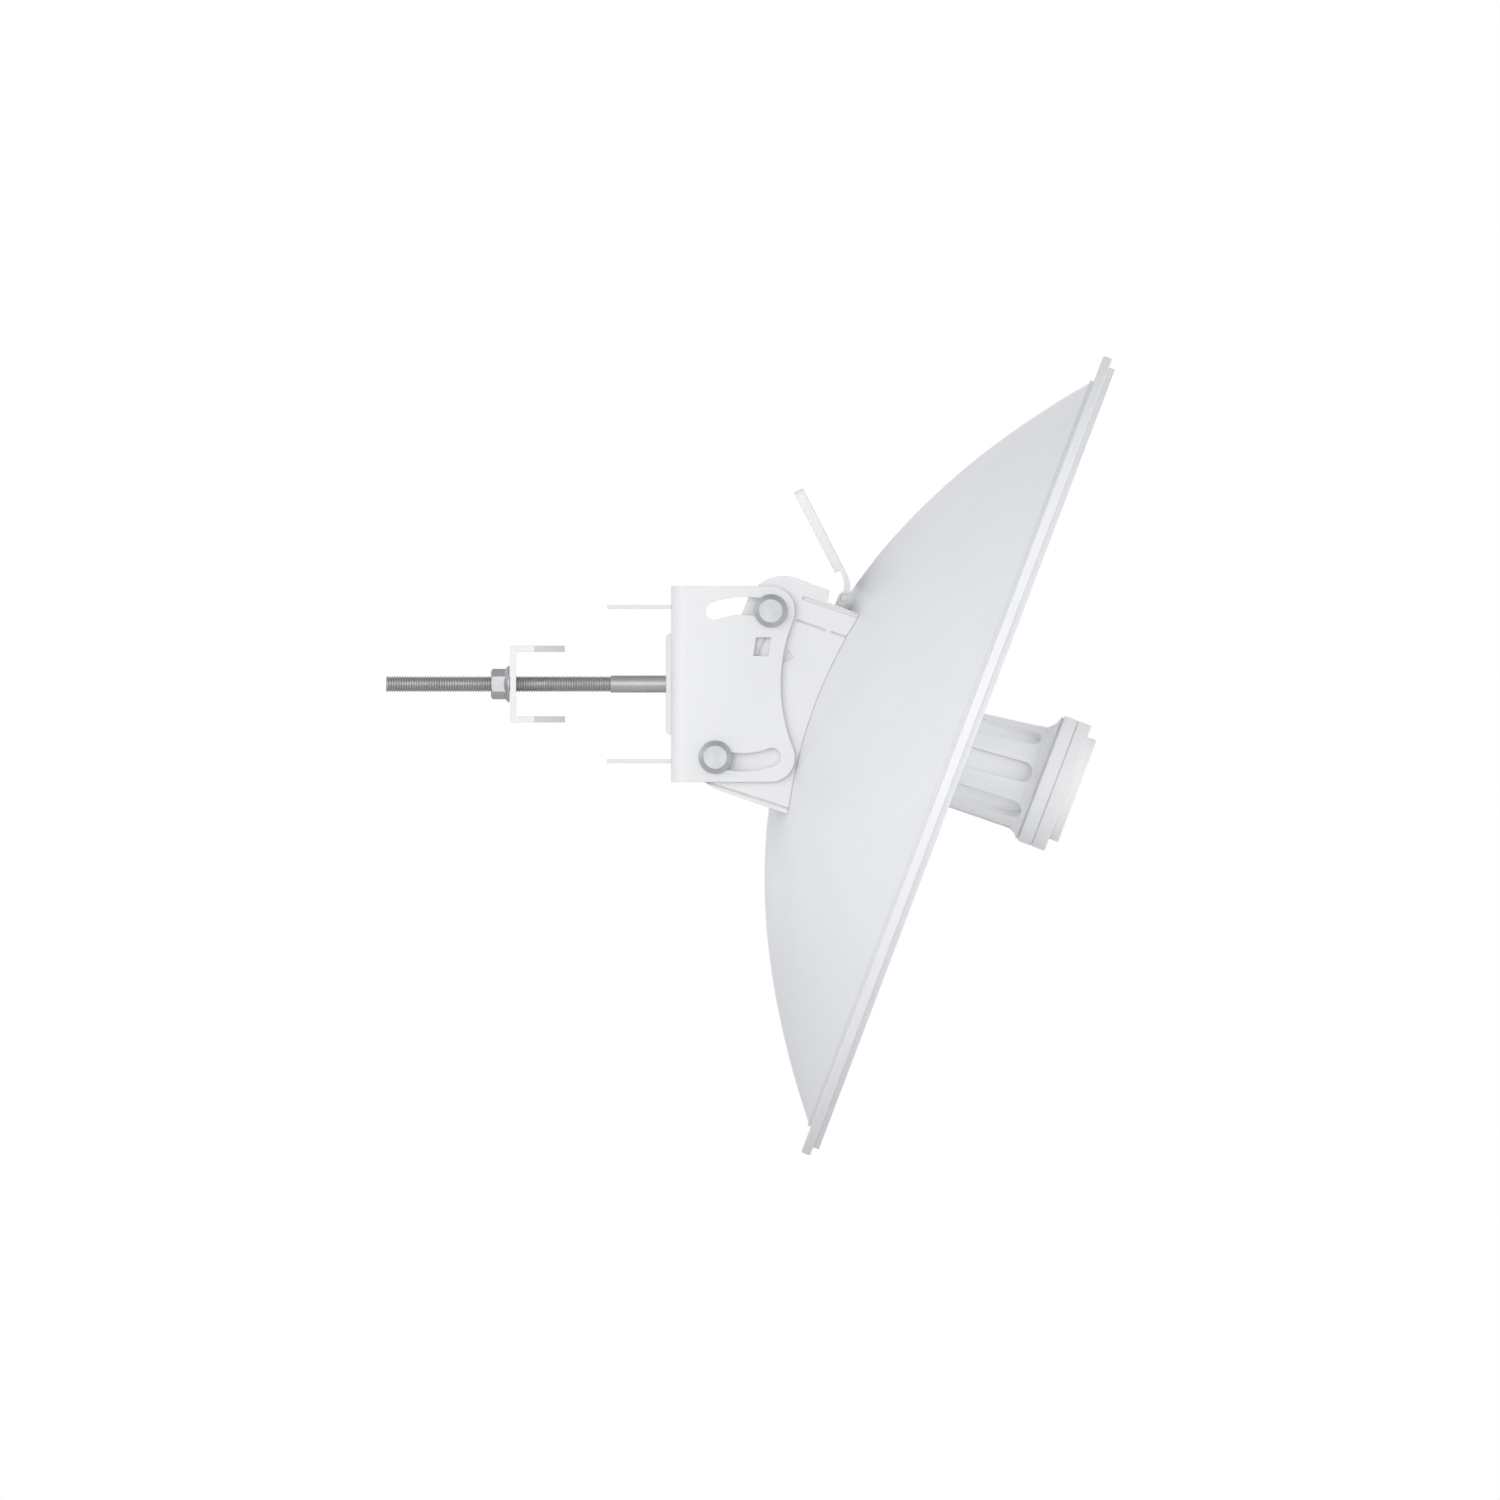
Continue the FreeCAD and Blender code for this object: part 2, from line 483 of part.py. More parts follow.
# ---- housing between the cheeks ----
def housing_body():
    """Plastic box behind the dish: electronics below, an open cable bay on top, a socket in front."""
    body = box(HOUSING_REAR, PLATE_N, -HOUSING_Y, HOUSING_Y, HOUSING_BOTTOM, HOUSING_TOP)
    low_corners = edges_along(body, Y, lambda c: c.x < 0) + edges_along(body, Z, lambda c: c.x < 0)
    body = body.makeFillet(5.0, low_corners)
    rim = box(HOUSING_REAR + 1, BAY_FRONT + WALL, -RIM_Y - 1, RIM_Y + 1, HOUSING_TOP - 6, RIM_TOP)
    ear_y0, ear_y1 = LID_HALF + 0.4, LID_HALF + 3.4
    ear_block = box(22.0, 31.0, HOUSING_Y - 1, ear_y1, 44.0, HOUSING_TOP)
    ear = fuse([box(HINGE_N - 3, HINGE_N + 1.6, ear_y0, ear_y1, 48.0, HINGE_U),
                pin(3.0, ear_y0, ear_y1, HINGE_N, HINGE_U)])
    ears = [ear_block, ear, ear_block.mirror(ORIGIN, Y), ear.mirror(ORIGIN, Y)]
    body = fuse([body, rim] + ears)
    lower = box(HOUSING_REAR + WALL, PLATE_N - WALL, -HOUSING_Y + WALL, HOUSING_Y - WALL,
                HOUSING_BOTTOM + WALL, DECK_U)
    core_y = HOUSING_Y - WALL
    core = box(BAY_FRONT + WALL, PLATE_N - WALL, -core_y, core_y, DECK_U - 1, HOUSING_TOP - WALL)
    bay_y = RIM_Y - WALL
    bay = box(HOUSING_REAR + 1 + WALL, BAY_FRONT, -bay_y, bay_y, DECK_U + DECK_T, RIM_TOP + 1)
    # the rear corner follows the cheeks' round corner, a little inside it
    round_n, round_u = CHEEK_REAR + CHEEK_R, CHEEK_TOP - CHEEK_R
    corner = box(HOUSING_REAR - 10, round_n, -60, 60, round_u, RIM_TOP + 10)
    corner = corner.cut(pin(RIM_TOP - round_u, -60, 60, round_n, round_u))
    body = body.cut([lower, core, bay, corner])
    socket = rod(SOCKET_R + 3.2, SOCKET_N - 3.5, PLATE_N, 0, AXIS_U)
    spring_wall = box(7.0, 9.5, -HOUSING_Y + 1, HOUSING_Y - 1, -34.0, -18.0)
    body = fuse([body, socket, spring_wall])
    holes = [
        rod(SOCKET_R, SOCKET_N, PLATE_N + 1, 0, AXIS_U),
        rod(7.0, SOCKET_N - 5, SOCKET_N + 1, 0, AXIS_U),
        rod(BUTTON_R + 0.3, HOUSING_REAR - 1, HOUSING_REAR + WALL + 1, 0, BUTTON_U),
        rod(GLAND_NECK_R, HOUSING_REAR - 1, HOUSING_REAR + 6, GLAND_Y, GLAND_U),
        Part.makeCylinder(RESET_R + 0.3, 10, V(RESET_N, RESET_Y, DECK_U - 4), Z),
        pin(2.0, -ear_y1 - 1, ear_y1 + 1, HINGE_N, HINGE_U),
    ]
    holes += [rod(3.1, PLATE_N - 10, PLATE_N + 1, y, u) for y, u in screw_places()]
    behind_wall = HOUSING_REAR + WALL + 1
    holes += [rod(LENS_R + 0.05, HOUSING_REAR - 1, behind_wall, y, LENS_U) for y in LENS_YS]
    return body.cut(holes)


def rear_housing():
    """The housing up to the floor of the cable bay."""
    floor = DECK_U + DECK_T
    return housing_body().cut(box(-30, 60, -70, 70, floor, floor + 60))


def cable_bay():
    """The walls of the cable bay, a moulding of their own on top of the housing."""
    floor = DECK_U + DECK_T
    return housing_body().cut(box(-30, 60, -70, 70, floor - 200, floor))


def bay_seal():
    """Rubber strip on the flat top of the cable bay's rim: the front and both sides."""
    front, rear, side, width = BAY_FRONT + WALL, CHEEK_REAR + CHEEK_R, RIM_Y + 1, 2.0
    strip = box(rear, front, -side, side, RIM_TOP, RIM_TOP + 0.8)
    return strip.cut(box(rear - 1, front - width, -side + width, side - width, RIM_TOP - 1, RIM_TOP + 2))


def main_board():
    board = box(12.0, 13.6, -40.0, 40.0, -40.0, 28.0)
    return board.cut([rod(4.5, 11, 15, y, u) for y, u in screw_places()])


def shield_can():
    can = box(9.8, 12.0, -16.0, 16.0, -12.0, 14.0)
    return can.makeFillet(0.6, edges_along(can, X, lambda c: True))


def lan_jack():
    """Network jack on the bay's floor, its mouth up."""
    base = DECK_U + DECK_T
    body = box(-4.0, 10.0, -8.0, 8.0, base, base + 13.5)
    mouth = box(-1.5, 6.0, -5.9, 5.9, base + 3.5, base + 14)
    notch = box(5.0, 8.0, -3.0, 3.0, base + 3.5, base + 14)
    return body.cut([mouth, notch])


def lan_contacts():
    base = DECK_U + DECK_T + 3.5
    return group([box(-1.4, -0.7, y - 0.2, y + 0.2, base, base + 8.0)
                  for y in [-3.57 + 1.02 * k for k in range(8)]])


def status_lenses():
    return group([rod(LENS_R, HOUSING_REAR - 0.5, HOUSING_REAR + 4, y, LENS_U) for y in LENS_YS])


def cable_gland():
    """Rubber grommet in the bay's rear wall, with the hole that a network cable comes in by."""
    wall_rear = HOUSING_REAR
    wall_front = HOUSING_REAR + 1 + WALL
    neck = rod(GLAND_NECK_R - 0.02, wall_rear - 0.5, wall_front + 0.5)
    flange = rod(GLAND_R, wall_rear - 1.6, wall_rear)
    flange = flange.makeFillet(0.7, [e for e in flange.Edges if e.CenterOfMass.x < wall_rear - 1.5])
    keeper = rod(GLAND_R, wall_front, wall_front + 1.5)
    gland = fuse([neck, flange, keeper]).cut(rod(GLAND_BORE_R, wall_rear - 3, wall_front + 3))
    gland.translate(V(0, GLAND_Y, GLAND_U))
    return gland


def release_button():
    """Push button that frees the feed tube."""
    cap = rod(BUTTON_R, HOUSING_REAR - 2.8, HOUSING_REAR + WALL + 0.5)
    cap = cap.makeFillet(0.8, [e for e in cap.Edges if e.CenterOfMass.x < HOUSING_REAR - 2.7])
    flange = rod(BUTTON_R + 1.5, HOUSING_REAR + WALL + 0.2, HOUSING_REAR + WALL + 1.6)
    button = fuse([cap, flange])
    button.translate(V(0, 0, BUTTON_U))
    return button


def release_spring():
    """Coil spring between the button and the housing's inner wall."""
    start, end = HOUSING_REAR + WALL + 1.9, 6.8
    wire_r, coil_r, turns = 0.45, 4.0, 5
    helix = Part.makeHelix((end - start - 2 * wire_r) / turns, end - start - 2 * wire_r, coil_r)
    circle = Part.Wire(Part.makeCircle(wire_r, V(coil_r, 0, 0), Y))
    spring = Part.Wire(helix).makePipeShell([circle], True, True)
    spring.rotate(ORIGIN, Y, 90)
    spring.translate(V(start + wire_r, 0, BUTTON_U))
    return spring


def reset_button():
    stem = Part.makeCylinder(RESET_R, 8.0, V(0, 0, DECK_U - 1.4), Z)
    keeper = Part.makeCylinder(RESET_R + 1.0, 1.2, V(0, 0, DECK_U - 1.4), Z)
    button = fuse([stem, keeper])
    button.translate(V(RESET_N, RESET_Y, 0))
    return button


# ---- lid of the cable bay ----
def port_lid():
    """Shallow tray on two curled arms, drawn closed and then turned open about its hinge."""
    def at(back, up):
        return V(HINGE_N - back, 0, HINGE_U + up)

    tray = box(HINGE_N - LID_FAR, HINGE_N - LID_NEAR, -LID_HALF, LID_HALF,
               HINGE_U + LID_UNDER, HINGE_U + LID_OUT)
    tray = tray.makeFillet(5.0, edges_along(tray, Z, lambda c: c.x < 0))
    top = [e for e in tray.Edges if abs(e.CenterOfMass.z - HINGE_U - LID_OUT) < 1e-6]
    tray = tray.makeFillet(0.8, top)
    hollow = box(HINGE_N - LID_FAR + 2, HINGE_N - LID_NEAR - 2, -LID_HALF + 2, LID_HALF - 2,
                 HINGE_U, HINGE_U + LID_DECK)
    tray = tray.cut(hollow.makeFillet(3.0, edges_along(hollow, Z, lambda c: c.x < 0)))
    arm_y0 = LID_HALF - 4.5
    outline = Part.Wire([
        Part.Arc(at(14.0, LID_OUT), at(6.0, 5.9), at(-1.4, 2.4)).toShape(),
        Part.makeLine(at(-1.4, 2.4), at(2.4, 0.5)),
        Part.Arc(at(2.4, 0.5), at(6.6, 3.3), at(14.0, LID_DECK)).toShape(),
        Part.makeLine(at(14.0, LID_DECK), at(14.0, LID_OUT)),
    ])
    face = Part.Face(outline)
    face.translate(V(0, arm_y0, 0))
    arm = fuse([face.extrude(V(0, LID_HALF - arm_y0, 0)),
                pin(2.9, arm_y0, LID_HALF, HINGE_N, HINGE_U),
                pin(1.92, LID_HALF - 1, LID_HALF + 3.2, HINGE_N, HINGE_U)])
    lid = fuse([tray, arm, arm.mirror(ORIGIN, Y)])
    lid.rotate(V(HINGE_N, 0, HINGE_U), Y, LID_OPEN)
    return lid


# ---- feed ----
def axis_disc(r, n0, n1, h=0.0):
    """A round plate square to the dish axis, its centre h above the axis."""
    return rod(r, n0, n1, 0, AXIS_U + h)


def feed_tube():
    """Fluted tube from the housing's socket to the cap, leaning a little and flared at its front."""
    shell = [axis_disc(TUBE_R, TUBE_REAR, NECK[0][0])]
    for (n0, h0, r0), (n1, h1, r1) in zip(NECK, NECK[1:]):
        low = Part.Wire(Part.makeCircle(r0, V(n0, 0, AXIS_U + h0), X))
        high = Part.Wire(Part.makeCircle(r1, V(n1, 0, AXIS_U + h1), X))
        shell.append(Part.makeLoft([low, high], True, True))
    tube = fuse(shell)
    start, end, half, floor_r = 100.0, 149.0, 4.9, 22.6
    middle_n, lean = 130.5, math.atan2(NECK[2][1] - NECK[1][1], NECK[2][0] - NECK[1][0])
    middle_h = (NECK[1][1] + NECK[2][1]) / 2
    a, b = start - middle_n + half, end - middle_n - half
    stadium = Part.Wire([
        Part.makeLine(V(a, -half, floor_r), V(b, -half, floor_r)),
        Part.Arc(V(b, -half, floor_r), V(b + half, 0, floor_r), V(b, half, floor_r)).toShape(),
        Part.makeLine(V(b, half, floor_r), V(a, half, floor_r)),
        Part.Arc(V(a, half, floor_r), V(a - half, 0, floor_r), V(a, -half, floor_r)).toShape(),
    ])
    cutter = Part.Face(stadium).extrude(V(0, 0, 15))
    cutters = []
    for k in range(FLUTES):
        flute = cutter.copy()
        flute.rotate(ORIGIN, X, 90 - FLUTE_FIRST + 360 / FLUTES * k)
        flute.rotate(ORIGIN, Y, -math.degrees(lean))
        flute.translate(V(middle_n, 0, AXIS_U + middle_h))
        cutters.append(flute)
    cutters.append(axis_disc(19.0, TUBE_REAR + 3, 154))
    cutters.append(axis_disc(24.5, 150.0, 154, 3.4))
    cutters.append(axis_disc(6.0, TUBE_REAR - 1, TUBE_REAR + 4))
    return tube.cut(cutters)


def feed_plug():
    """Plug at the tube's rear end that meets the housing's board."""
    pin_end = axis_disc(5.8, TUBE_REAR - 2.5, TUBE_REAR + 4)
    return fuse([pin_end, axis_disc(9.0, TUBE_REAR + 3, TUBE_REAR + 5)])


def feed_seal():
    return axis_disc(31.6, NECK[-1][0], CAP_REAR, CAP_H).cut(axis_disc(27.5, 150, 156, CAP_H))


def feed_cap():
    """Drum-shaped cover of the feed's front end, with a fine groove round its middle."""
    cap = axis_disc(CAP_R, CAP_REAR, CAP_FRONT, CAP_H)
    rims = [e for e in cap.Edges if e.BoundBox.ZLength > CAP_R]
    cap = cap.makeFillet(0.8, rims)
    groove = axis_disc(CAP_R + 1, 160.7, 161.3, CAP_H).cut(axis_disc(CAP_R - 0.5, 160, 162, CAP_H))
    return cap.cut([groove, axis_disc(30.2, CAP_REAR - 1, CAP_FRONT - WALL, CAP_H)])


def feed_face():
    face = axis_disc(FACE_R, CAP_FRONT, FACE_FRONT, 4.7)
    front = [e for e in face.Edges if e.CenterOfMass.x > FACE_FRONT - 0.1]
    return face.makeFillet(0.6, front)


def sub_reflector():
    return axis_disc(28.5, 158.0, 159.2, CAP_H)


def feed_board():
    return box(26.0, 140.0, -15.0, 15.0, AXIS_U - 2.8, AXIS_U - 1.2)


def feed_shield():
    top = AXIS_U - 1.2
    can = box(50.0, 96.0, -11.0, 11.0, top, top + 4.5)
    return can.makeFillet(0.7, edges_along(can, Z, lambda c: True))


def feed_radiator():
    """Stem and round plate that feed the small reflector in the cap."""
    return fuse([axis_disc(2.4, 140.0, 150.5, 1.0), axis_disc(12.0, 150.0, 151.2, 1.0)])


# ---- build ----
LEVEL_PARTS = {
    "dish_bracket": dish_bracket,
    "tilt_bolts": tilt_bolts,
    "weld_nuts": weld_nuts,
    "dish_reflector": dish_reflector,
    "rim_ring": rim_ring,
    "dish_screws": dish_screws,
    "dish_nuts": dish_nuts,
    "tube_gasket": tube_gasket,
    "rear_housing": rear_housing,
    "cable_bay": cable_bay,
    "bay_seal": bay_seal,
    "main_board": main_board,
    "shield_can": shield_can,
    "lan_jack": lan_jack,
    "lan_contacts": lan_contacts,
    "status_lenses": status_lenses,
    "cable_gland": cable_gland,
    "release_button": release_button,
    "release_spring": release_spring,
    "reset_button": reset_button,
    "port_lid": port_lid,
    "feed_tube": feed_tube,
    "feed_plug": feed_plug,
    "feed_seal": feed_seal,
    "feed_cap": feed_cap,
    "feed_face": feed_face,
    "sub_reflector": sub_reflector,
    "feed_board": feed_board,
    "feed_shield": feed_shield,
    "feed_radiator": feed_radiator,
}
UPRIGHT_PARTS = {
    "pole_bracket": pole_bracket,
    "jaw_plates": jaw_plates,
    "carriage_bolts": carriage_bolts,
    "pole_clamp": pole_clamp,
    "clamp_nut_near": lambda: clamp_nut(-BOLT_Y),
    "clamp_nut_far": lambda: clamp_nut(BOLT_Y),
}

os.makedirs("parts", exist_ok=True)
for name, make in UPRIGHT_PARTS.items():
    make().exportStep("parts/" + name + ".step")
for name, make in LEVEL_PARTS.items():
    tip(make()).exportStep("parts/" + name + ".step")
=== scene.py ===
import json
import math

import bpy
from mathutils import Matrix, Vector

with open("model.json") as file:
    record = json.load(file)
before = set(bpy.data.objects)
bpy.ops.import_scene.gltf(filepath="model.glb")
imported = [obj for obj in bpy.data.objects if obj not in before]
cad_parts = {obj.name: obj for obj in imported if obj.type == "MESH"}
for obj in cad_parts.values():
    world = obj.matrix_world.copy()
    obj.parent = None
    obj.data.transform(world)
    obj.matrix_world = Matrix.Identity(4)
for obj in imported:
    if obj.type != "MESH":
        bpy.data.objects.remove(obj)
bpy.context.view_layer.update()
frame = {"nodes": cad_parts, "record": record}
nodes_of = frame["nodes"]
record = frame["record"]

# ---- the studio, in metres and watts ----
MIDDLE = (0.09, 0.0, 0.0)                   # where the lamps point
CAMERA_PLACE = (0.0897, -3.0, -0.0325)
VIEW_WIDTH = 0.7394                         # width of the square that the camera takes in
WALL_LIGHT, CEILING_LIGHT = 0.95, 0.52      # strength of the surroundings, level and overhead
FLOOR_HALF, FLOOR_LEVEL = 8.0, -0.42
NEUTRAL, WARM = (1.0, 1.0, 1.0), (1.0, 0.99, 0.98)
EDGE_FLAT, EDGE_SHARP = 0.99, 0.85          # how far the bevelled normal turns, as a cosine


# ---- camera: square on to the bridge's side, with no perspective ----
def make_camera():
    data = bpy.data.cameras.new("camera")
    data.type = "ORTHO"
    data.ortho_scale = VIEW_WIDTH
    data.clip_end = 20.0
    camera = bpy.data.objects.new("camera", data)
    camera.location = CAMERA_PLACE
    camera.rotation_euler = (math.pi / 2, 0.0, 0.0)
    bpy.context.scene.collection.objects.link(camera)
    bpy.context.scene.camera = camera


# ---- light ----
def area_light(name, place, size, energy, colour):
    data = bpy.data.lights.new(name, "AREA")
    data.shape = "SQUARE"
    data.size = size
    data.energy = energy
    data.color = colour
    lamp = bpy.data.objects.new(name, data)
    lamp.location = place
    lamp.rotation_euler = (Vector(MIDDLE) - Vector(place)).to_track_quat("-Z", "Y").to_euler()
    bpy.context.scene.collection.objects.link(lamp)


def make_world():
    """A white backdrop for the camera, and softer studio walls, brightest at eye level, for light."""
    world = bpy.data.worlds.new("studio")
    world.use_nodes = True
    nodes, links = world.node_tree.nodes, world.node_tree.links
    backdrop = nodes["Background"]
    walls = nodes.new("ShaderNodeBackground")
    direction = nodes.new("ShaderNodeTexCoord").outputs["Generated"]
    parts = nodes.new("ShaderNodeSeparateXYZ")
    height = nodes.new("ShaderNodeMath")
    height.operation = "ABSOLUTE"
    fade = nodes.new("ShaderNodeMapRange")
    fade.inputs["To Min"].default_value = WALL_LIGHT
    fade.inputs["To Max"].default_value = CEILING_LIGHT
    links.new(direction, parts.inputs["Vector"])
    links.new(parts.outputs["Z"], height.inputs[0])
    links.new(height.outputs["Value"], fade.inputs["Value"])
    links.new(fade.outputs["Result"], walls.inputs["Strength"])
    backdrop.inputs["Color"].default_value = (1.0, 1.0, 1.0, 1.0)
    backdrop.inputs["Strength"].default_value = 1.0
    walls.inputs["Color"].default_value = (0.97, 0.985, 1.0, 1.0)
    choose = nodes.new("ShaderNodeMixShader")
    links.new(nodes.new("ShaderNodeLightPath").outputs["Is Camera Ray"], choose.inputs["Fac"])
    links.new(walls.outputs["Background"], choose.inputs[1])
    links.new(backdrop.outputs["Background"], choose.inputs[2])
    links.new(choose.outputs["Shader"], nodes["World Output"].inputs["Surface"])
    bpy.context.scene.world = world
    bpy.context.scene.view_settings.view_transform = "Standard"


def make_light():
    area_light("key", (-0.8, -1.5, 0.4), size=1.3, energy=8.4, colour=WARM)
    area_light("fill", (0.3, -2.4, -0.2), size=1.6, energy=4.5, colour=NEUTRAL)
    area_light("front", (1.6, -1.0, -0.3), size=1.2, energy=13.0, colour=NEUTRAL)


def make_floor():
    mesh = bpy.data.meshes.new("floor")
    half, level = FLOOR_HALF, FLOOR_LEVEL
    corners = [(-half, -half, level), (half, -half, level), (half, half, level), (-half, half, level)]
    mesh.from_pydata(corners, [], [(0, 1, 2, 3)])
    floor = bpy.data.objects.new("floor", mesh)
    bpy.context.scene.collection.objects.link(floor)
    tree = Tree("studio_floor")
    tree.shader.inputs["Roughness"].default_value = 0.8
    mottle = tree.noise(6.0, 3.0)
    tree.colour(mottle, (0.80, 0.80, 0.80), (0.84, 0.84, 0.84))
    mesh.materials.append(tree.material)


# ---- materials ----
class Tree:
    """A node material under construction, with its patterns measured in metres on the object."""

    def __init__(self, name):
        self.material = bpy.data.materials.new(name)
        self.material.use_nodes = True
        self.nodes = self.material.node_tree.nodes
        self.links = self.material.node_tree.links
        self.shader = self.nodes["Principled BSDF"]
        self.place = self.nodes.new("ShaderNodeTexCoord").outputs["Object"]

    def link(self, start, end):
        self.links.new(start, end)

    def noise(self, scale, detail, stretch=(1.0, 1.0, 1.0)):
        spread = self.nodes.new("ShaderNodeMapping")
        spread.inputs["Scale"].default_value = stretch
        self.link(self.place, spread.inputs["Vector"])
        node = self.nodes.new("ShaderNodeTexNoise")
        node.inputs["Scale"].default_value = scale
        node.inputs["Detail"].default_value = detail
        self.link(spread.outputs["Vector"], node.inputs["Vector"])
        return node.outputs["Fac"]

    def cells(self, scale):
        node = self.nodes.new("ShaderNodeTexVoronoi")
        node.inputs["Scale"].default_value = scale
        self.link(self.place, node.inputs["Vector"])
        return node

    def band(self, value, low, high, to_low=0.0, to_high=1.0):
        """Maps value from low..high to to_low..to_high, clamped."""
        node = self.nodes.new("ShaderNodeMapRange")
        node.inputs["From Min"].default_value = low
        node.inputs["From Max"].default_value = high
        node.inputs["To Min"].default_value = to_low
        node.inputs["To Max"].default_value = to_high
        self.link(value, node.inputs["Value"])
        return node.outputs["Result"]

    def maths(self, operation, first, second):
        node = self.nodes.new("ShaderNodeMath")
        node.operation = operation
        for socket, value in zip(node.inputs, (first, second)):
            if isinstance(value, (int, float)):
                socket.default_value = value
            else:
                self.link(value, socket)
        return node.outputs["Value"]

    def mix(self, factor, first, second):
        """A colour between first and second, each a colour or a socket."""
        node = self.nodes.new("ShaderNodeMix")
        node.data_type = "RGBA"
        self.link(factor, node.inputs["Factor"])
        for socket, value in ((node.inputs[6], first), (node.inputs[7], second)):
            if isinstance(value, tuple):
                socket.default_value = (*value, 1.0)
            else:
                self.link(value, socket)
        return node.outputs[2]

    def colour(self, factor, first, second):
        self.link(self.mix(factor, first, second), self.shader.inputs["Base Color"])

    def roughness(self, value, low, high):
        self.link(self.band(value, 0.3, 0.7, low, high), self.shader.inputs["Roughness"])

    def edges(self, radius):
        """1 along sharp edges and 0 elsewhere, and the softened normal there."""
        bevel = self.nodes.new("ShaderNodeBevel")
        bevel.samples = 4
        bevel.inputs["Radius"].default_value = radius
        true_normal = self.nodes.new("ShaderNodeNewGeometry").outputs["Normal"]
        dot = self.nodes.new("ShaderNodeVectorMath")
        dot.operation = "DOT_PRODUCT"
        self.link(bevel.outputs["Normal"], dot.inputs[0])
        self.link(true_normal, dot.inputs[1])
        return self.band(dot.outputs["Value"], EDGE_FLAT, EDGE_SHARP), bevel.outputs["Normal"]

    def bump(self, heights, normal=None):
        """Stacks (height, depth in metres) pairs on the normal."""
        for height, depth in heights:
            node = self.nodes.new("ShaderNodeBump")
            node.inputs["Strength"].default_value = 1.0
            node.inputs["Distance"].default_value = depth
            self.link(height, node.inputs["Height"])
            if normal is not None:
                self.link(normal, node.inputs["Normal"])
            normal = node.outputs["Normal"]
        self.link(normal, self.shader.inputs["Normal"])

    def set(self, **values):
        for name, value in values.items():
            self.shader.inputs[name.replace("_", " ")].default_value = value


def powder_coat(name, light, dark, gloss=0.42, edge_radius=0.0005):
    """Powder-coated sheet: orange-peel skin, faint handling marks and paint worn thin on edges."""
    tree = Tree(name)
    drift = tree.noise(14.0, 4.0)
    smear = tree.noise(60.0, 5.0, (1.0, 1.0, 0.25))
    peel = tree.noise(900.0, 2.0)
    grit = tree.noise(3200.0, 1.0)
    edge, soft_normal = tree.edges(edge_radius)
    worn = tree.maths("MULTIPLY", edge, tree.band(tree.noise(240.0, 3.0), 0.5, 0.72))
    paint = tree.mix(tree.band(drift, 0.35, 0.65), light, dark)
    dulled = tree.mix(tree.band(smear, 0.58, 0.75, 0.0, 0.5), paint, dark)
    rubbed = tuple(0.62 * c for c in dark)
    tree.link(tree.mix(tree.maths("MULTIPLY", worn, 0.55), dulled, rubbed), tree.shader.inputs["Base Color"])
    tree.roughness(smear, gloss - 0.07, gloss + 0.1)
    tree.bump([(peel, 0.00006), (grit, 0.00001)], soft_normal)
    tree.set(Specular_IOR_Level=0.45)
    return tree.material


def dish_paint(name):
    """Smooth sprayed enamel on the pressed bowl, a little blue and faintly clouded."""
    tree = Tree(name)
    drift = tree.noise(7.0, 3.0)
    cloud = tree.noise(30.0, 5.0)
    peel = tree.noise(650.0, 2.0)
    grit = tree.noise(2600.0, 1.0)
    paint = tree.mix(tree.band(drift, 0.35, 0.65), (0.835, 0.84, 0.87), (0.81, 0.82, 0.845))
    tree.colour(tree.band(cloud, 0.45, 0.8, 0.0, 0.35), paint, (0.77, 0.785, 0.81))
    tree.roughness(cloud, 0.30, 0.42)
    _, soft_normal = tree.edges(0.0005)
    tree.bump([(cloud, 0.00012), (peel, 0.00005), (grit, 0.000008)], soft_normal)
    tree.set(Coat_Weight=0.15, Coat_Roughness=0.25)
    return tree.material


def moulded_plastic(name, light, dark, gloss=0.40, grain=0.00003):
    """Moulded plastic: a fine spark-eroded grain, soft flow marks and slightly lighter edges."""
    tree = Tree(name)
    flow = tree.noise(22.0, 4.0, (0.35, 1.0, 1.0))
    spark = tree.cells(2300.0)
    fine = tree.noise(4200.0, 1.0)
    edge, soft_normal = tree.edges(0.0006)
    body = tree.mix(tree.band(flow, 0.35, 0.65), light, dark)
    bright = tuple(min(1.0, 1.04 * c) for c in light)
    tree.link(tree.mix(tree.maths("MULTIPLY", edge, 0.4), body, bright), tree.shader.inputs["Base Color"])
    tree.roughness(flow, gloss - 0.05, gloss + 0.08)
    tree.bump([(spark.outputs["Distance"], grain), (fine, grain / 3)], soft_normal)
    tree.set(Subsurface_Weight=0.06, Subsurface_Radius=(0.003, 0.003, 0.003), Subsurface_Scale=0.5)
    return tree.material


def zinc_plate(name, light, dark, marks=1.0):
    """Bright zinc on steel: drawn lines, a faint spangle and duller patches."""
    tree = Tree(name)
    spangle = tree.cells(420.0)
    patch = tree.noise(90.0, 5.0)
    drawn = tree.noise(700.0, 3.0, (0.08, 1.0, 1.0))
    grit = tree.noise(2600.0, 2.0)
    edge, soft_normal = tree.edges(0.00025)
    base = tree.mix(tree.band(patch, 0.35, 0.65), light, dark)
    bright = tuple(min(1.0, 1.1 * c) for c in light)
    tint = tree.mix(tree.band(spangle.outputs["Color"], 0.0, 1.0, 0.0, 0.35), base, bright)
    tree.link(tree.mix(tree.maths("MULTIPLY", edge, 0.5), tint, bright), tree.shader.inputs["Base Color"])
    tree.roughness(patch, 0.30, 0.48)
    tree.bump([(drawn, 0.00002 * marks), (grit, 0.000012 * marks)], soft_normal)
    tree.set(Metallic=1.0)
    return tree.material


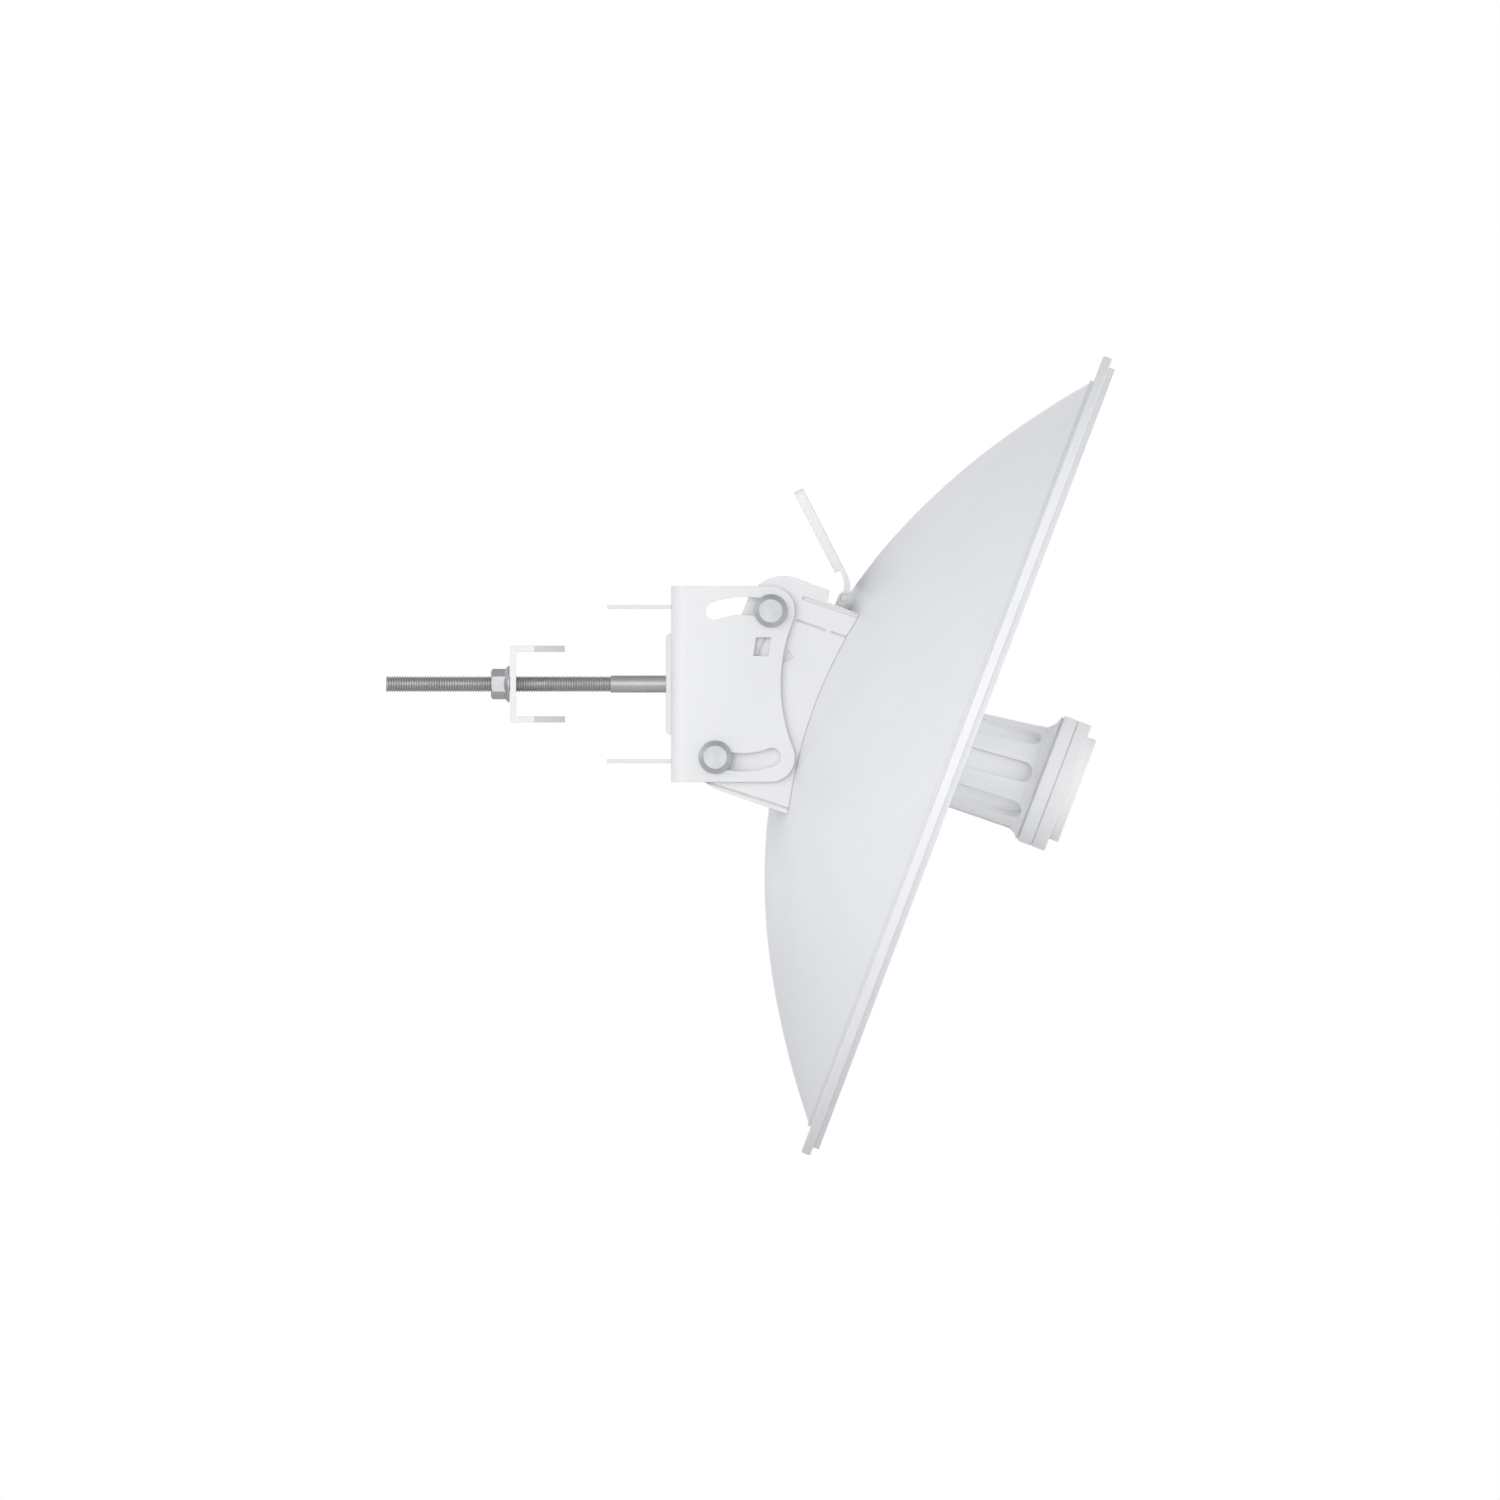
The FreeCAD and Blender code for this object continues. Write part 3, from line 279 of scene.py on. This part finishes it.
def tinned_sheet(name, light, dark, gloss):
    """Soft tin or gold plating with rolling lines and duller patches."""
    tree = Tree(name)
    roll = tree.noise(1400.0, 3.0, (0.05, 1.0, 1.0))
    touch = tree.noise(160.0, 4.0)
    _, soft_normal = tree.edges(0.0002)
    tree.colour(tree.band(touch, 0.4, 0.65), light, dark)
    tree.roughness(touch, gloss, gloss + 0.18)
    tree.bump([(roll, 0.000008)], soft_normal)
    tree.set(Metallic=1.0)
    return tree.material


def rubber(name):
    """Moulded grey rubber with a dusty bloom and a pebbled skin."""
    tree = Tree(name)
    bloom = tree.noise(120.0, 5.0)
    pebble = tree.cells(1500.0)
    _, soft_normal = tree.edges(0.0004)
    tree.colour(tree.band(bloom, 0.4, 0.7), (0.10, 0.105, 0.11), (0.19, 0.195, 0.20))
    tree.roughness(bloom, 0.62, 0.82)
    tree.bump([(pebble.outputs["Distance"], 0.00004)], soft_normal)
    tree.set(Sheen_Weight=0.15, Sheen_Roughness=0.5)
    return tree.material


def white_rubber(name):
    """Matt white silicone."""
    tree = Tree(name)
    bloom = tree.noise(140.0, 4.0)
    tree.colour(tree.band(bloom, 0.35, 0.7), (0.80, 0.80, 0.80), (0.74, 0.74, 0.745))
    tree.roughness(bloom, 0.6, 0.78)
    tree.bump([(bloom, 0.00004)])
    return tree.material


def circuit_board(name):
    """Green solder mask over a grid of tracks with tinned pads."""
    tree = Tree(name)
    weave = tree.noise(300.0, 2.0)
    tracks = tree.nodes.new("ShaderNodeTexBrick")
    tracks.inputs["Scale"].default_value = 180.0
    tracks.inputs["Mortar Size"].default_value = 0.06
    tree.link(tree.place, tracks.inputs["Vector"])
    pads = tree.cells(260.0)
    pad = tree.band(pads.outputs["Distance"], 0.16, 0.12)
    mask = tree.mix(tree.band(weave, 0.3, 0.7), (0.015, 0.13, 0.05), (0.02, 0.17, 0.07))
    laid = tree.mix(tracks.outputs["Fac"], mask, (0.04, 0.26, 0.11))
    tree.link(tree.mix(pad, laid, (0.62, 0.62, 0.58)), tree.shader.inputs["Base Color"])
    tree.roughness(weave, 0.28, 0.42)
    tree.bump([(tracks.outputs["Fac"], 0.00003), (pad, 0.00006)])
    return tree.material


def lens_plastic(name):
    """Milky light-guide plastic of the status lights."""
    tree = Tree(name)
    haze = tree.noise(800.0, 3.0)
    tree.colour(tree.band(haze, 0.35, 0.65), (0.80, 0.86, 0.82), (0.68, 0.76, 0.71))
    tree.roughness(haze, 0.12, 0.22)
    tree.bump([(haze, 0.00002)])
    tree.set(Subsurface_Weight=0.5, Subsurface_Radius=(0.002, 0.003, 0.002), Coat_Weight=0.5)
    return tree.material


# ---- one maker for each finish: the record's slots, and the duller zinc of the long bolts and nuts ----
MAKERS = {
    "white_steel": lambda name: powder_coat(name, (0.85, 0.85, 0.855), (0.82, 0.82, 0.83)),
    "dish_paint": dish_paint,
    "zinc_steel": lambda name: zinc_plate(name, (0.57, 0.58, 0.60), (0.52, 0.53, 0.54)),
    "zinc_thread": lambda name: zinc_plate(name, (0.53, 0.53, 0.54), (0.47, 0.47, 0.48), 0.3),
    "white_plastic": lambda name: moulded_plastic(name, (0.90, 0.90, 0.90), (0.87, 0.87, 0.875)),
    "grey_plastic": lambda name: moulded_plastic(name, (0.42, 0.43, 0.44), (0.38, 0.39, 0.40), 0.46),
    "grey_rubber": rubber,
    "white_rubber": white_rubber,
    "circuit_board": circuit_board,
    "tinned_metal": lambda name: tinned_sheet(name, (0.72, 0.72, 0.70), (0.60, 0.60, 0.59), 0.26),
    "gold_contact": lambda name: tinned_sheet(name, (0.88, 0.66, 0.28), (0.76, 0.54, 0.22), 0.20),
    "clear_lens": lens_plastic,
}
OWN_FINISH = {node: "zinc_thread" for node in ("carriage_bolts", "clamp_nut_near", "clamp_nut_far")}


def dress_cad_nodes():
    made = {}
    for part in record["subparts"]:
        finish = OWN_FINISH.get(part["node"], part["material_slot"])
        if finish not in made:
            made[finish] = MAKERS[finish](finish)
        piece = nodes_of[part["node"]]
        if not piece.material_slots:
            piece.data.materials.append(made[finish])
        for place in piece.material_slots:
            place.material = made[finish]


make_camera()
make_world()
make_light()
make_floor()
dress_cad_nodes()
